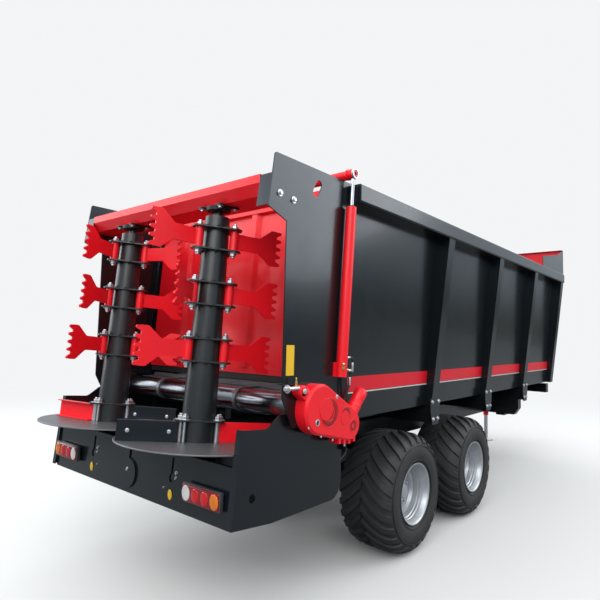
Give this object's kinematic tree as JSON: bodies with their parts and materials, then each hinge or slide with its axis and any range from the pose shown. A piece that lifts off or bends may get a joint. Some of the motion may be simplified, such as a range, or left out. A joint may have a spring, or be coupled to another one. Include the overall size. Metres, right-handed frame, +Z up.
{
  "type": "tandem-axle manure spreader",
  "caption": "Towed manure spreader: open load box with scraper floor, lifting rear gate, upright forked beaters over spinning discs, tandem axle, drawbar and parking jack.",
  "frame": {"origin": "middle of the overall length and width, on the ground", "axes": "+Y forward towards the towing eye, +X to the machine's right side, +Z up"},
  "size_m": [2.246, 8.205, 3.075],
  "materials": {
    "body_black": "gloss",
    "red_paint": "gloss",
    "beater_grey": "satin",
    "disc_steel": "satin",
    "galvanised": "satin",
    "rubber": "matt",
    "chrome": "polished",
    "lamp": "gloss",
    "flap": "matt",
    "cast": "matt"
  },
  "bodies": {
    "spreader": {"axle_front": "body_black", "axle_rear": "body_black", "cross_beams": "body_black", "drawbar": "body_black", "drive_line": "body_black", "floor": "disc_steel", "floor_bearers": "body_black", "gate_cylinders": "red_paint", "gear_case": "body_black", "headboard": "red_paint", "hood_beam": "red_paint", "jack_tube": "red_paint", "lower_plates": "body_black", "main_beams": "body_black", "rear_lamps": "lamp", "rear_panel": "body_black", "scraper": "disc_steel", "side_frame_left": "body_black", "side_frame_right": "body_black", "side_gearbox": "red_paint", "side_wall_left": "body_black", "side_wall_right": "body_black", "springs": "body_black", "towing_eye": "cast", "upper_plate_left": "body_black", "upper_plate_right": "body_black"},
    "wheel_left_front": {"tyre_left_front": "rubber", "rim_left_front": "galvanised"},
    "wheel_left_rear": {"tyre_left_rear": "rubber", "rim_left_rear": "galvanised"},
    "beater_unit_left": {"beater_left": "beater_grey", "paddles_left": "red_paint", "disc_left": "disc_steel"},
    "wheel_right_front": {"tyre_right_front": "rubber", "rim_right_front": "galvanised"},
    "wheel_right_rear": {"tyre_right_rear": "rubber", "rim_right_rear": "galvanised"},
    "beater_unit_right": {"beater_right": "beater_grey", "paddles_right": "red_paint", "disc_right": "disc_steel"},
    "gate_unit": {"gate": "red_paint", "gate_flap": "flap", "gate_crossbar": "red_paint", "gate_rods": "chrome"},
    "jack_foot": {"jack_leg": "galvanised"}
  },
  "joints": [
    {"name": "wheel_left_front_spin", "type": "hinge", "parent": "spreader", "child": "wheel_left_front", "pos_m": [-0.815, -0.6505, 0.466], "axis": [1, 0, 0], "continuous": true},
    {"name": "wheel_left_rear_spin", "type": "hinge", "parent": "spreader", "child": "wheel_left_rear", "pos_m": [-0.815, -1.8575, 0.466], "axis": [1, 0, 0], "continuous": true},
    {"name": "wheel_right_front_spin", "type": "hinge", "parent": "spreader", "child": "wheel_right_front", "pos_m": [0.815, -0.6505, 0.466], "axis": [1, 0, 0], "continuous": true},
    {"name": "wheel_right_rear_spin", "type": "hinge", "parent": "spreader", "child": "wheel_right_rear", "pos_m": [0.815, -1.8575, 0.466], "axis": [1, 0, 0], "continuous": true},
    {"name": "beater_left_spin", "type": "hinge", "parent": "spreader", "child": "beater_unit_left", "pos_m": [-0.49, -3.6235, 1.039], "axis": [0, 0.0732, 0.9973], "continuous": true},
    {"name": "beater_right_spin", "type": "hinge", "parent": "spreader", "child": "beater_unit_right", "pos_m": [0.49, -3.6235, 1.039], "axis": [0, 0.0732, 0.9973], "continuous": true},
    {"name": "gate_lift", "type": "slide", "parent": "spreader", "child": "gate_unit", "axis": [0, 0.0732, 0.9973], "range_m": [0, 0.95]},
    {"name": "jack_slide", "type": "slide", "parent": "spreader", "child": "jack_foot", "axis": [0, 0, 1], "range_m": [0, 0.38]}
  ]
}
